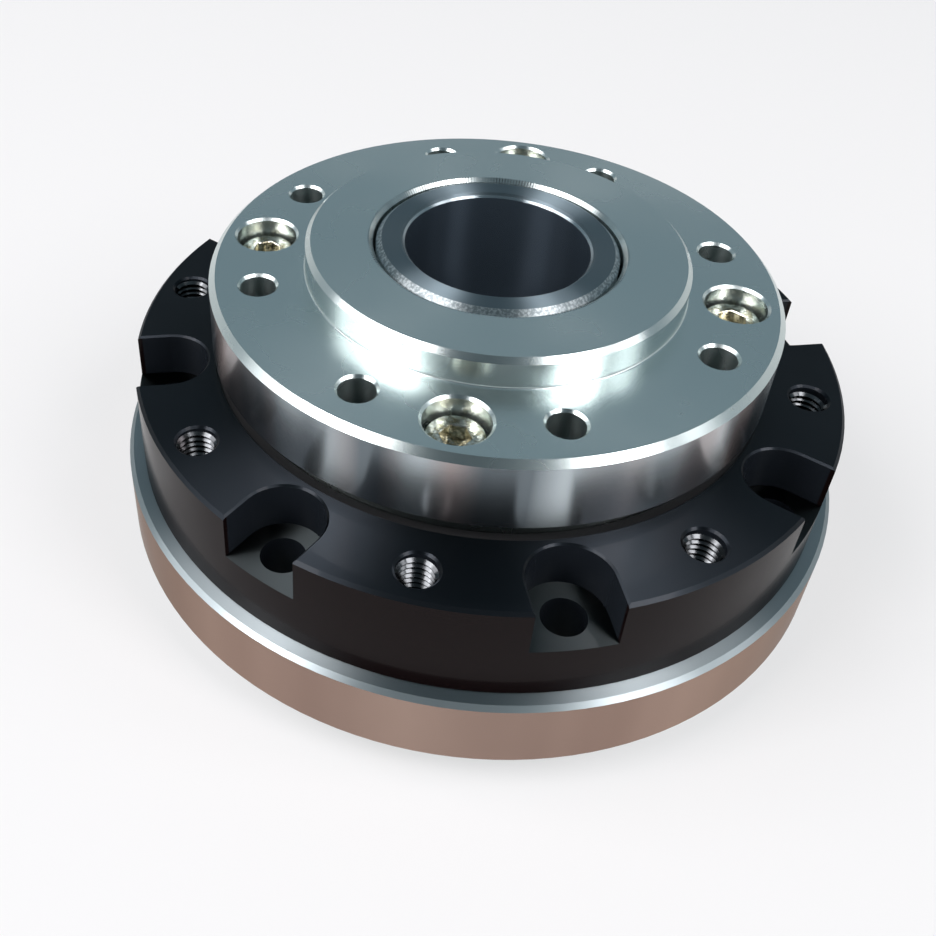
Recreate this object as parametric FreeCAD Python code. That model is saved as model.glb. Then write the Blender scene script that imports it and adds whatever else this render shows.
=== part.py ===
import FreeCAD, Part
import math
import os

# Hollow strain wave gear with a crossed roller output bearing.
# Millimetres, +Z towards the output. The origin is on the turning axis, in the plane of the rear face.

# Heights of the stack, from the rear face up
rear_pilot_height = 7.0
base_ring_height = 12.3
mounting_flange_height = 16.9
disc_gap = 2.3
disc_thickness = 12.0
boss_height = 5.0

# Edge breaks
disc_chamfer = 1.0
boss_chamfer = 0.8
boss_fillet = 0.4
boss_bore_chamfer = 0.6
flange_chamfer = 0.5
ring_chamfer = 0.7
edge_break = 0.3
cut_over = 1.0

# Running and seating clearances
seat_gap = 0.02
seal_gap = 0.03
rolling_gap = 0.10
pocket_gap = 0.15
side_gap = 0.5
hole_gap = 0.25
head_gap = 0.3
head_sink = 0.3

# Hollow shaft, from the bore outwards
bore_radius = 14.5
shaft_wall = 4.5
bearing_seat_step = 1.0
shaft_shoulder_step = 1.4
shaft_relief = 0.4
shaft_end_recess = 0.5
shaft_end_chamfer = 0.8
bore_chamfer = 0.7
shaft_thread_count = 6
shaft_thread_radius = 1.5
shaft_thread_depth = 3.6

# Support bearings of the shaft, one at each end
bearing_height = 7.0
bearing_section = 6.0
bearing_ring_thickness = 1.9
bearing_ball_radius = 1.75
bearing_ball_count = 16
bearing_cage_thickness = 1.6
bearing_cage_height = 2.6
shaft_clip_thickness = 1.2
shaft_clip_width = 2.5
shaft_clip_gap = 5.0
clip_groove_depth = 0.7
bore_clip_thickness = 1.2
bore_clip_width = 2.6
bore_clip_depth = 0.8
clip_land = 1.2
hub_wall = 2.8

# Oval cam of the shaft, and the wave bearing on it
cam_rise = 1.31
cam_flange_thickness = 1.2
cam_flange_reach = 1.0
wave_race_height = 7.5
wave_inner_race_thickness = 2.3
wave_outer_race_thickness = 1.9
wave_groove_depth = 0.9
wave_ball_radius = 2.8
wave_ball_count = 22
wave_cage_thickness = 2.4
wave_cage_height = 4.0
wave_clip_thickness = 1.2
wave_clip_reach = 1.8

# Flexspline
flex_wall = 0.6
flex_overhang = 0.5
flex_tooth_lead = 0.5
flex_blend_height = 2.5
diaphragm_thickness = 0.8
diaphragm_drop = 0.5
diaphragm_round = 1.2
rim_thickness = 2.5
rim_width = 9.0

# Tooth system: two teeth fewer on the flexible ring than on the rigid one
flex_teeth = 100
tooth_difference = 2
flank_angle = 25.0
tooth_addendum = 0.50
tooth_dedendum = 0.62
tooth_backlash = 0.05
spline_height = 8.5
neck_insert = 3.2

# Crossed roller bearing around the flexspline
barrel_clearance = 2.75
inner_ring_depth = 8.0
outer_ring_depth = 5.5
roller_radius = 2.25
roller_count = 40
inner_ring_height = 10.0
outer_ring_overlap = 0.3
ring_land_gap = 1.2
spacer_side = 3.6
spacer_width = 3.4

# Output flange, outwards from its hole pattern
output_pitch_offset = 3.0
neck_wall = 4.8
disc_overhang = 2.7
boss_wall = 4.0
boss_bore_gap = 0.5
output_screw_count = 4
output_hole_count = 8
output_hole_radius = 2.75
output_screw_hole_radius = 2.55
output_hole_chamfer = 0.4
output_pattern_turn = 2.0
m5_radius = 2.5
m5_head_radius = 4.25
m5_head_height = 5.0
m5_socket = 4.0
m5_socket_depth = 2.6
m5_counterbore_radius = 4.8
m5_head_sink = 2.8
m5_thread_length = 7.5

# Mounting flange: notched bolt seats and tapped holes
mount_pitch_offset = 4.0
mount_edge_distance = 5.5
mount_count = 8
mount_hole_radius = 3.3
notch_radius = 6.2
notch_depth = 7.7
tapped_radius = 3.0
tapped_depth = 9.0
tapped_chamfer = 0.35
housing_cavity_gap = 0.9

# Base ring and rear pilot
base_ring_step = 2.5
lip_depth = 1.5
rim_seat_land = 7.0
pilot_step = 1.0
pilot_relief_width = 0.8
pilot_relief_depth = 0.5

# Seals
shaft_seal_depth = 5.5
shaft_seal_height = 3.0
seal_shell = 0.9
seal_land = 1.7
boss_lip = 4.5
output_seal_width = 2.3
output_seal_height = 2.6
output_seal_setback = 0.5
seal_pocket_depth = 3.7
ring_cord_radius = 0.5
pilot_ring_cord_radius = 0.6
pilot_ring_position = 5.0
cord_sides = 8

# Screws inside and at the rear
m4_radius = 2.0
m4_head_radius = 3.5
m4_head_height = 4.0
m4_socket = 3.0
m4_socket_depth = 2.0
housing_screw_count = 4
housing_screw_offset = 5.5
housing_thread_length = 6.5
m3_radius = 1.5
m3_head_radius = 2.75
m3_head_height = 3.0
m3_socket = 2.5
m3_socket_depth = 1.6
cover_screw_count = 8
cover_screw_offset = 2.4
cover_thread_floor = 0.5
spline_screw_count = 8
spline_screw_offset = 2.3
spline_thread_length = 5.0

# Radii of the shaft and its bearings
journal_radius = bore_radius + shaft_wall
bearing_seat_radius = journal_radius + bearing_seat_step
shaft_shoulder_radius = bearing_seat_radius + shaft_shoulder_step
shaft_middle_radius = shaft_shoulder_radius - shaft_relief
bearing_outer_radius = bearing_seat_radius + bearing_section
bearing_pitch_radius = (bearing_seat_radius + bearing_outer_radius) / 2
hub_radius = bearing_outer_radius + hub_wall
shaft_seal_radius = journal_radius + shaft_seal_depth
seal_shoulder_radius = (shaft_seal_radius + shaft_shoulder_radius) / 2

# Mean radii of the wave bearing and the flexspline, from the cam outwards
cam_radius = shaft_middle_radius + cam_rise
wave_inner_outside = cam_radius + wave_inner_race_thickness
wave_track_radius = wave_inner_outside - wave_groove_depth + rolling_gap + wave_ball_radius
wave_outer_inside = wave_track_radius + wave_ball_radius + rolling_gap - wave_groove_depth
wave_outer_radius = wave_outer_inside + wave_outer_race_thickness
flex_inner_radius = wave_outer_radius + seat_gap
flex_root_radius = flex_inner_radius + flex_wall
flex_pitch_radius = flex_root_radius + tooth_dedendum

# The wave lifts the flexible ring by one module at each end of its long axis
module = 2 * flex_pitch_radius / flex_teeth
wave = module * tooth_difference / 2
spline_teeth = flex_teeth + tooth_difference
spline_pitch_radius = module * spline_teeth / 2

# Radii of the crossed roller bearing. Its raceway is a square on its corner.
inner_ring_bore_radius = flex_pitch_radius + barrel_clearance
roller_pitch_radius = inner_ring_bore_radius + inner_ring_depth
inner_ring_radius = roller_pitch_radius - ring_land_gap / 2
outer_ring_inside = roller_pitch_radius + ring_land_gap / 2
outer_ring_radius = roller_pitch_radius + outer_ring_depth
race_half_diagonal = (roller_radius + rolling_gap) * math.sqrt(2)
spline_screw_pitch_radius = inner_ring_bore_radius + spline_screw_offset

# Radii of the output flange
output_pitch_radius = inner_ring_bore_radius + output_pitch_offset
neck_radius = output_pitch_radius + neck_wall
disc_radius = neck_radius + disc_overhang
boss_radius = bearing_outer_radius + boss_wall
output_seal_radius = neck_radius + output_seal_width
housing_cavity_radius = neck_radius + housing_cavity_gap

# Radii of the housing
mount_pitch_radius = outer_ring_radius + mount_pitch_offset
mounting_flange_radius = mount_pitch_radius + mount_edge_distance
base_ring_radius = mounting_flange_radius + base_ring_step
housing_screw_pitch_radius = outer_ring_radius + housing_screw_offset
lip_radius = roller_pitch_radius - lip_depth
rim_radius = lip_radius + rim_seat_land
rear_pilot_radius = rim_radius - pilot_step
cover_screw_pitch_radius = lip_radius + cover_screw_offset

# Heights worked out from the stack
z_rear = 0.0
z_ring_bottom = z_rear + rear_pilot_height
z_ring_top = z_ring_bottom + base_ring_height
z_flange_top = z_ring_top + mounting_flange_height
z_disc_bottom = z_flange_top + disc_gap
z_disc_top = z_disc_bottom + disc_thickness
z_boss_top = z_disc_top + boss_height
z_neck_bottom = z_flange_top - neck_insert
z_spline_bottom = z_neck_bottom - spline_height
z_inner_ring_bottom = z_spline_bottom - inner_ring_height
z_roller = (z_spline_bottom + z_inner_ring_bottom) / 2
z_outer_ring_top = z_spline_bottom + outer_ring_overlap
z_outer_ring_bottom = z_inner_ring_bottom - outer_ring_overlap
z_rim_bottom = z_ring_bottom
z_rim_top = z_rim_bottom + rim_thickness
cover_thread_length = z_outer_ring_bottom - z_rim_top - cover_thread_floor
z_wave = (z_neck_bottom + z_spline_bottom) / 2
z_wave_bottom = z_wave - wave_race_height / 2
z_wave_top = z_wave + wave_race_height / 2
z_flex_top = z_neck_bottom + flex_overhang
z_flex_tooth_bottom = z_spline_bottom - flex_tooth_lead
z_output_pocket_top = z_boss_top - boss_lip
z_output_bearing_top = z_output_pocket_top - shaft_seal_height - seal_land
z_output_bearing_bottom = z_output_bearing_top - bearing_height
z_input_seal_top = z_rear + side_gap + shaft_seal_height
z_input_bearing_bottom = z_input_seal_top + seal_land
z_input_bearing_top = z_input_bearing_bottom + bearing_height

AXIS = FreeCAD.Vector(0, 0, 1)
ORIGIN = FreeCAD.Vector(0, 0, 0)


def vec(x, y, z):
    return FreeCAD.Vector(x, y, z)


def polar(radius, degrees, z):
    angle = math.radians(degrees)
    return vec(radius * math.cos(angle), radius * math.sin(angle), z)


def spread(count, turn=0.0):
    return [turn + 360.0 * i / count for i in range(count)]


def turned(corners):
    """Solid of revolution. A corner is (radius, z), (radius, z, chamfer) or (radius, z, size, "round")."""
    points = [vec(c[0], 0, c[1]) for c in corners]
    edges = []
    ends = []
    for i, corner in enumerate(corners):
        here = points[i]
        if len(corner) < 3:
            ends.append((here, here))
            continue
        before = (points[i - 1] - here).normalize() * corner[2]
        after = (points[(i + 1) % len(points)] - here).normalize() * corner[2]
        start = here + before
        stop = here + after
        ends.append((start, stop))
        if len(corner) == 3:
            edges.append(Part.LineSegment(start, stop).toShape())
        else:
            edges.append(corner_arc(here, start, stop))
    for i in range(len(points)):
        start = ends[i][1]
        stop = ends[(i + 1) % len(points)][0]
        edges.append(Part.LineSegment(start, stop).toShape())
    wire = Part.Wire(Part.__sortEdges__(edges))
    return Part.Face(wire).revolve(ORIGIN, AXIS, 360)


def corner_arc(corner, start, stop):
    """Arc that is tangent to both sides of a square corner."""
    centre = start + stop - corner
    middle = centre + (corner - centre).normalize() * (start - centre).Length
    return Part.Arc(start, middle, stop).toShape()


def cylinder(radius, z0, z1, degrees=0.0, pitch_radius=0.0):
    return Part.makeCylinder(radius, z1 - z0, polar(pitch_radius, degrees, z0), AXIS)


def cone(r0, r1, z0, z1, degrees, pitch_radius):
    return Part.makeCone(r0, r1, z1 - z0, polar(pitch_radius, degrees, z0), AXIS)


def ellipse_wire(radius, lift, z):
    """Closed curve whose long axis lies along X."""
    curve = Part.Ellipse(vec(0, 0, z), radius + lift, radius - lift)
    return Part.Wire(curve.toShape())


def oval(radius, z0, z1):
    return Part.Face(ellipse_wire(radius, wave, z0)).extrude(vec(0, 0, z1 - z0))


def oval_ring(inner, outer, z0, z1):
    return oval(outer, z0, z1).cut(oval(inner, z0, z1))


def hexagon(across_flats, z0, z1, degrees, pitch_radius):
    corner = across_flats / math.sqrt(3)
    centre = polar(pitch_radius, degrees, z0)
    points = [centre + polar(corner, a, 0) for a in spread(6, degrees)]
    wire = Part.makePolygon(points + points[:1])
    return Part.Face(wire).extrude(vec(0, 0, z1 - z0))


def cap_screw(radius, head_radius, head_height, socket, socket_depth, seat, length, up, place):
    """Cap screw whose head rests on z = seat. It points down if up is 1 and up if up is -1."""
    degrees, pitch_radius = place
    tip = seat - up * length
    top = seat + up * head_height
    break_start = top - up * edge_break
    low, high = sorted((seat, break_start))
    head = cylinder(head_radius, low, high, degrees, pitch_radius)
    rim = [head_radius, head_radius - edge_break]
    low, high = sorted((break_start, top))
    sizes = rim if up > 0 else rim[::-1]
    head = head.fuse(cone(sizes[0], sizes[1], low, high, degrees, pitch_radius))
    low, high = sorted((top, top - up * socket_depth))
    head = head.cut(hexagon(socket, low, high, degrees, pitch_radius))
    low, high = sorted((seat, tip))
    shank = cylinder(radius - seat_gap, low, high, degrees, pitch_radius)
    return head.fuse(shank).removeSplitter()


def clip_ring(inner, outer, z0, z1, gap, degrees):
    """Open spring ring."""
    ring = cylinder(outer, z0, z1).cut(cylinder(inner, z0, z1))
    slot = Part.makeBox(outer, gap, z1 - z0, vec(0, -gap / 2, z0))
    slot.rotate(ORIGIN, AXIS, degrees)
    return ring.cut(slot)


def ball_centres(count, pitch_radius, lift, z):
    """Even places on a round track, or on an oval one if lift is above zero."""
    places = [polar(1, angle, 0) for angle in spread(count)]
    return [vec((pitch_radius + lift) * p.x, (pitch_radius - lift) * p.y, z) for p in places]


def ball_ring(radius, centres):
    return [Part.makeSphere(radius, centre) for centre in centres]


def ball_pockets(radius, centres):
    """Round radial pockets of a cage."""
    pockets = []
    for centre in centres:
        out = vec(centre.x, centre.y, 0).normalize()
        pockets.append(Part.makeCylinder(radius, 2 * radius, centre - out * radius, out))
    return pockets


def save(name, shape):
    shape.exportStep("parts/" + name + ".step")


# Teeth

def flex_frame(angle):
    """Pitch point and outward direction of the flexible ring for an undeformed angle in radians."""
    radius = flex_pitch_radius + wave * math.cos(2 * angle)
    place = angle - wave * math.sin(2 * angle) / (2 * flex_pitch_radius)
    facing = angle + 1.5 * wave * math.sin(2 * angle) / flex_pitch_radius
    return radius, place, facing


def tooth_points(radius, place, facing, inside, outside, thickness):
    """Four corners of a straight-sided tooth, from its root to its tip and back."""
    slope = math.tan(math.radians(flank_angle))
    root_half = thickness / 2 - slope * inside
    tip_half = thickness / 2 - slope * outside
    centre = vec(radius * math.cos(place), radius * math.sin(place), 0)
    out = vec(math.cos(facing), math.sin(facing), 0)
    side = vec(-math.sin(facing), math.cos(facing), 0)
    corners = [(inside, -root_half), (outside, -tip_half), (outside, tip_half), (inside, root_half)]
    return [centre + out * rise + side * offset for rise, offset in corners]


def toothed_wire(points, z):
    lifted = [p + vec(0, 0, z) for p in points]
    return Part.makePolygon(lifted + lifted[:1])


def flexspline():
    thickness = math.pi * module / 2 - 2 * tooth_backlash
    points = []
    for i in range(flex_teeth):
        radius, place, facing = flex_frame(2 * math.pi * i / flex_teeth)
        points += tooth_points(radius, place, facing, -tooth_dedendum, tooth_addendum, thickness)
    height = z_flex_top - z_flex_tooth_bottom
    teeth = Part.Face(toothed_wire(points, z_flex_tooth_bottom)).extrude(vec(0, 0, height))
    barrel_radius = flex_inner_radius + flex_wall - seat_gap
    z_blend = z_rim_top + flex_blend_height
    outside = Part.makeLoft([
        ellipse_wire(barrel_radius, 0, z_blend),
        ellipse_wire(barrel_radius, wave, z_flex_tooth_bottom),
    ], True, True)
    inside = Part.makeLoft([
        ellipse_wire(flex_inner_radius, 0, z_blend),
        ellipse_wire(flex_inner_radius, wave, z_flex_tooth_bottom),
    ], True, True)
    teeth = teeth.cut(oval(flex_inner_radius, z_flex_tooth_bottom, z_flex_top))
    z_web_top = z_rim_top - diaphragm_drop
    z_web_bottom = z_web_top - diaphragm_thickness
    rim_inside = rim_radius - rim_width
    foot = turned([
        (flex_inner_radius, z_blend),
        (flex_inner_radius, z_web_bottom, diaphragm_round, "round"),
        (rim_inside, z_web_bottom),
        (rim_inside, z_rim_bottom),
        (rim_radius, z_rim_bottom),
        (rim_radius, z_rim_top),
        (rim_inside, z_rim_top),
        (rim_inside, z_web_top),
        (barrel_radius, z_web_top, diaphragm_round, "round"),
        (barrel_radius, z_blend),
    ])
    holes = cover_screw_holes(m3_radius + hole_gap, z_rim_bottom, z_rim_top)
    return teeth.fuse([outside.cut(inside), foot]).cut(holes).removeSplitter()


def circular_spline():
    space = math.pi * module / 2
    points = []
    for i in range(spline_teeth):
        angle = 2 * math.pi * i / spline_teeth
        points += tooth_points(
            spline_pitch_radius, angle, angle, -tooth_addendum, tooth_dedendum, space)
    height = z_neck_bottom - z_spline_bottom
    hollow = Part.Face(toothed_wire(points, z_spline_bottom)).extrude(vec(0, 0, height))
    ring = turned([
        (spline_pitch_radius - module, z_spline_bottom),
        (neck_radius, z_spline_bottom, edge_break),
        (neck_radius, z_neck_bottom, edge_break),
        (spline_pitch_radius - module, z_neck_bottom),
    ])
    tools = [hollow]
    for angle in spread(output_screw_count, output_pattern_turn):
        tools.append(cylinder(m5_radius, z_spline_bottom, z_neck_bottom, angle, output_pitch_radius))
    for angle in output_hole_angles():
        tools.append(cylinder(m5_radius, z_spline_bottom, z_neck_bottom, angle, output_pitch_radius))
    seat = z_neck_bottom - m3_head_height - head_sink
    for angle in spline_screw_angles():
        place = (angle, spline_screw_pitch_radius)
        tools.append(cylinder(m3_radius + hole_gap, z_spline_bottom, z_neck_bottom, *place))
        tools.append(cylinder(m3_head_radius + hole_gap, seat, z_neck_bottom, *place))
    return ring.cut(tools)


# Hole patterns

def output_hole_angles():
    return spread(output_hole_count, output_pattern_turn + 180.0 / output_hole_count)


def spline_screw_angles():
    return spread(spline_screw_count, output_pattern_turn + 90.0 / spline_screw_count)


def notch_angles():
    return spread(mount_count, 180.0 / mount_count)


def tapped_angles():
    return spread(mount_count)


def housing_screw_angles():
    return spread(housing_screw_count)


def cover_screw_angles():
    return spread(cover_screw_count, 180.0 / cover_screw_count)


def cover_screw_holes(radius, z0, z1):
    return [cylinder(radius, z0, z1, a, cover_screw_pitch_radius) for a in cover_screw_angles()]


# Housing, the side that stands still

def notch_tool(degrees):
    """U-shaped bolt seat that is open to the outside, with its top edge broken."""
    floor = z_flange_top - notch_depth
    over = edge_break
    reach = mounting_flange_radius - mount_pitch_radius + cut_over
    round_end = Part.makeCylinder(notch_radius, notch_depth + over, vec(mount_pitch_radius, 0, floor))
    straight = Part.makeBox(
        reach, 2 * notch_radius, notch_depth + over, vec(mount_pitch_radius, -notch_radius, floor))
    low = z_flange_top - edge_break
    high = z_flange_top + over
    wide = notch_radius + edge_break + over
    flare = Part.makeCone(notch_radius, wide, high - low, vec(mount_pitch_radius, 0, low))
    corners = [(-notch_radius, low), (-wide, high), (wide, high), (notch_radius, low)]
    points = [vec(mount_pitch_radius, y, z) for y, z in corners]
    slope = Part.Face(Part.makePolygon(points + points[:1])).extrude(vec(reach, 0, 0))
    tool = round_end.fuse([straight, flare, slope])
    tool.rotate(ORIGIN, AXIS, degrees)
    return tool


def mounting_flange():
    body = turned([
        (outer_ring_radius + seat_gap, z_ring_top),
        (mounting_flange_radius, z_ring_top, edge_break),
        (mounting_flange_radius, z_flange_top, flange_chamfer),
        (output_seal_radius, z_flange_top, edge_break),
        (output_seal_radius, z_flange_top - seal_pocket_depth),
        (housing_cavity_radius, z_flange_top - seal_pocket_depth),
        (housing_cavity_radius, z_outer_ring_top),
        (outer_ring_radius + seat_gap, z_outer_ring_top),
    ])
    tools = []
    for angle in notch_angles():
        tools.append(notch_tool(angle))
        tools.append(cylinder(mount_hole_radius, z_ring_top, z_flange_top, angle, mount_pitch_radius))
    for angle in tapped_angles():
        place = (angle, mount_pitch_radius)
        tools.append(cylinder(tapped_radius, z_flange_top - tapped_depth, z_flange_top, *place))
        mouth = z_flange_top - tapped_chamfer
        tools.append(cone(tapped_radius, tapped_radius + tapped_chamfer, mouth, z_flange_top, *place))
    for angle in housing_screw_angles():
        top = z_ring_top + housing_thread_length
        tools.append(cylinder(m4_radius, z_ring_top, top, angle, housing_screw_pitch_radius))
    return body.cut(tools)


def base_ring():
    body = turned([
        (rim_radius + seat_gap, z_ring_bottom),
        (base_ring_radius, z_ring_bottom, edge_break),
        (base_ring_radius, z_ring_top, ring_chamfer),
        (outer_ring_radius + seat_gap, z_ring_top),
        (outer_ring_radius + seat_gap, z_outer_ring_bottom),
        (lip_radius, z_outer_ring_bottom),
        (lip_radius, z_rim_top),
        (rim_radius + seat_gap, z_rim_top),
    ])
    tools = []
    for angle in notch_angles():
        tools.append(cylinder(mount_hole_radius, z_ring_bottom, z_ring_top, angle, mount_pitch_radius))
    seat = z_ring_bottom + m4_head_height + head_sink
    for angle in housing_screw_angles():
        place = (angle, housing_screw_pitch_radius)
        tools.append(cylinder(m4_radius + hole_gap, z_ring_bottom, z_ring_top, *place))
        tools.append(cylinder(m4_head_radius + hole_gap, z_ring_bottom, seat, *place))
    tools += cover_screw_holes(m3_radius, z_rim_top, z_rim_top + cover_thread_length)
    return body.cut(tools)


def rear_cover():
    top = z_input_bearing_top + bore_clip_thickness + clip_land
    groove = bearing_outer_radius + bore_clip_depth
    z_groove = z_input_bearing_top + bore_clip_thickness
    cord = pilot_ring_cord_radius
    pilot_groove = rear_pilot_radius - 2 * cord
    body = turned([
        (shaft_seal_radius, z_rear, edge_break),
        (rear_pilot_radius, z_rear, edge_break),
        (rear_pilot_radius, pilot_ring_position - cord),
        (pilot_groove, pilot_ring_position - cord),
        (pilot_groove, pilot_ring_position + cord),
        (rear_pilot_radius, pilot_ring_position + cord),
        (rear_pilot_radius, z_rim_bottom - pilot_relief_width),
        (rear_pilot_radius - pilot_relief_depth, z_rim_bottom - pilot_relief_width),
        (rear_pilot_radius - pilot_relief_depth, z_rim_bottom),
        (rim_radius - rim_width, z_rim_bottom),
        (rim_radius - rim_width, z_rim_bottom - side_gap),
        (hub_radius, z_rim_bottom - side_gap),
        (hub_radius, top, edge_break),
        (bearing_outer_radius, top),
        (bearing_outer_radius, z_groove),
        (groove, z_groove),
        (groove, z_input_bearing_top),
        (bearing_outer_radius, z_input_bearing_top),
        (bearing_outer_radius, z_input_bearing_bottom),
        (seal_shoulder_radius, z_input_bearing_bottom),
        (seal_shoulder_radius, z_input_seal_top),
        (shaft_seal_radius, z_input_seal_top),
    ])
    seat = z_rear + m3_head_height + head_sink
    tools = cover_screw_holes(m3_radius + hole_gap, z_rear, z_rim_bottom)
    tools += cover_screw_holes(m3_head_radius + hole_gap, z_rear, seat)
    return body.cut(tools)


# Output side

def output_flange():
    groove = bearing_outer_radius + bore_clip_depth
    z_groove = z_output_bearing_bottom - bore_clip_thickness
    z_hub = z_groove - clip_land
    z_roof = z_disc_bottom - side_gap
    cord = ring_cord_radius
    z_cord = z_neck_bottom + 2 * cord
    cord_middle = neck_radius - 3 * cord
    body = turned([
        (journal_radius + boss_bore_gap, z_boss_top, boss_bore_chamfer),
        (boss_radius, z_boss_top, boss_chamfer),
        (boss_radius, z_disc_top, boss_fillet, "round"),
        (disc_radius, z_disc_top, disc_chamfer),
        (disc_radius, z_disc_bottom, edge_break),
        (neck_radius, z_disc_bottom),
        (neck_radius, z_neck_bottom),
        (cord_middle + cord, z_neck_bottom),
        (cord_middle + cord, z_cord),
        (cord_middle - cord, z_cord),
        (cord_middle - cord, z_neck_bottom),
        (inner_ring_bore_radius, z_neck_bottom),
        (inner_ring_bore_radius, z_roof),
        (hub_radius, z_roof),
        (hub_radius, z_hub),
        (bearing_outer_radius, z_hub),
        (bearing_outer_radius, z_groove),
        (groove, z_groove),
        (groove, z_output_bearing_bottom),
        (bearing_outer_radius, z_output_bearing_bottom),
        (bearing_outer_radius, z_output_bearing_top),
        (shaft_seal_radius, z_output_bearing_top),
        (shaft_seal_radius, z_output_pocket_top),
        (journal_radius + boss_bore_gap, z_output_pocket_top),
    ])
    tools = []
    seat = output_screw_seat()
    for angle in spread(output_screw_count, output_pattern_turn):
        place = (angle, output_pitch_radius)
        tools.append(cylinder(output_screw_hole_radius, z_neck_bottom, z_disc_top, *place))
        tools.append(cylinder(m5_counterbore_radius, seat, z_disc_top, *place))
        tools.append(mouth_tool(m5_counterbore_radius, output_hole_chamfer, *place))
    for angle in output_hole_angles():
        place = (angle, output_pitch_radius)
        tools.append(cylinder(output_hole_radius, z_neck_bottom, z_disc_top, *place))
        tools.append(mouth_tool(output_hole_radius, output_hole_chamfer, *place))
    return body.cut(tools)


def mouth_tool(radius, chamfer, degrees, pitch_radius):
    return cone(radius, radius + chamfer, z_disc_top - chamfer, z_disc_top, degrees, pitch_radius)


def output_screw_seat():
    return z_disc_top - m5_head_height - m5_head_sink


def output_screws():
    seat = output_screw_seat()
    length = seat - z_neck_bottom + m5_thread_length
    size = (m5_radius, m5_head_radius, m5_head_height, m5_socket, m5_socket_depth)
    angles = spread(output_screw_count, output_pattern_turn)
    return [cap_screw(*size, seat, length, 1, (a, output_pitch_radius)) for a in angles]


def spline_screws():
    seat = z_neck_bottom - m3_head_height - head_sink
    length = seat - z_spline_bottom + spline_thread_length
    size = (m3_radius, m3_head_radius, m3_head_height, m3_socket, m3_socket_depth)
    return [cap_screw(*size, seat, length, 1, (a, spline_screw_pitch_radius))
            for a in spline_screw_angles()]


def housing_screws():
    seat = z_ring_bottom + m4_head_height + head_sink
    length = z_ring_top - seat + housing_thread_length - head_gap
    size = (m4_radius, m4_head_radius, m4_head_height, m4_socket, m4_socket_depth)
    return [cap_screw(*size, seat, length, -1, (a, housing_screw_pitch_radius))
            for a in housing_screw_angles()]


def cover_screws():
    seat = z_rear + m3_head_height + head_sink
    length = z_rim_top - seat + cover_thread_length - head_gap
    size = (m3_radius, m3_head_radius, m3_head_height, m3_socket, m3_socket_depth)
    return [cap_screw(*size, seat, length, -1, (a, cover_screw_pitch_radius))
            for a in cover_screw_angles()]


# Crossed roller bearing

def raceway():
    """Ring with a square section that stands on its corner."""
    return turned([
        (roller_pitch_radius - race_half_diagonal, z_roller),
        (roller_pitch_radius, z_roller - race_half_diagonal),
        (roller_pitch_radius + race_half_diagonal, z_roller),
        (roller_pitch_radius, z_roller + race_half_diagonal),
    ])


def crossed_inner_ring():
    ring = turned([
        (inner_ring_bore_radius, z_inner_ring_bottom, edge_break),
        (inner_ring_radius, z_inner_ring_bottom, edge_break),
        (inner_ring_radius, z_spline_bottom),
        (inner_ring_bore_radius, z_spline_bottom, edge_break),
    ])
    depth = z_spline_bottom - spline_thread_length - head_gap
    tools = [cylinder(m3_radius, depth, z_spline_bottom, a, spline_screw_pitch_radius)
             for a in spline_screw_angles()]
    return ring.cut([raceway()] + tools)


def crossed_outer_half(z0, z1):
    ring = turned([
        (outer_ring_inside, z0),
        (outer_ring_radius, z0, edge_break),
        (outer_ring_radius, z1, edge_break),
        (outer_ring_inside, z1),
    ])
    return ring.cut(raceway())


def roller_axis(index, degrees):
    rise = 1 if index % 2 == 0 else -1
    return polar(1, degrees, rise).normalize()


def crossed_rollers():
    length = 2 * roller_radius - 2 * rolling_gap
    rollers = []
    for i, angle in enumerate(spread(roller_count)):
        direction = roller_axis(i, angle)
        centre = polar(roller_pitch_radius, angle, z_roller)
        start = centre - direction * (length / 2)
        rollers.append(Part.makeCylinder(roller_radius, length, start, direction))
    return rollers


def roller_spacers():
    step = 360.0 / roller_count
    spacers = []
    for i, angle in enumerate(spread(roller_count, step / 2)):
        half = spacer_side / 2
        block = Part.makeBox(
            spacer_side, spacer_width, spacer_side, vec(-half, -spacer_width / 2, -half))
        block.rotate(ORIGIN, vec(0, 1, 0), 45)
        block.translate(vec(roller_pitch_radius, 0, z_roller))
        block.rotate(ORIGIN, AXIS, angle)
        cutters = []
        for index, place in ((i, angle - step / 2), (i + 1, angle + step / 2)):
            direction = roller_axis(index, place)
            start = polar(roller_pitch_radius, place, z_roller) - direction * spacer_side
            cutters.append(Part.makeCylinder(
                roller_radius + rolling_gap, 2 * spacer_side, start, direction))
        spacers.append(block.cut(cutters))
    return spacers


# Support bearings

def support_groove(z0):
    """Ball groove of both rings, as a torus cutter."""
    radius = bearing_ball_radius + rolling_gap
    return Part.makeTorus(bearing_pitch_radius, radius, vec(0, 0, z0 + bearing_height / 2), AXIS)


def support_outer_ring(z0):
    inside = bearing_outer_radius - bearing_ring_thickness
    ring = turned([
        (inside, z0),
        (bearing_outer_radius - seat_gap, z0, edge_break),
        (bearing_outer_radius - seat_gap, z0 + bearing_height, edge_break),
        (inside, z0 + bearing_height),
    ])
    return ring.cut(support_groove(z0))


def support_inner_ring(z0):
    outside = bearing_seat_radius + bearing_ring_thickness
    ring = turned([
        (bearing_seat_radius + seat_gap, z0, edge_break),
        (outside, z0),
        (outside, z0 + bearing_height),
        (bearing_seat_radius + seat_gap, z0 + bearing_height, edge_break),
    ])
    return ring.cut(support_groove(z0))


def support_balls(z0):
    return ball_ring(bearing_ball_radius, support_ball_centres(z0))


def support_ball_centres(z0):
    return ball_centres(bearing_ball_count, bearing_pitch_radius, 0, z0 + bearing_height / 2)


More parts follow.
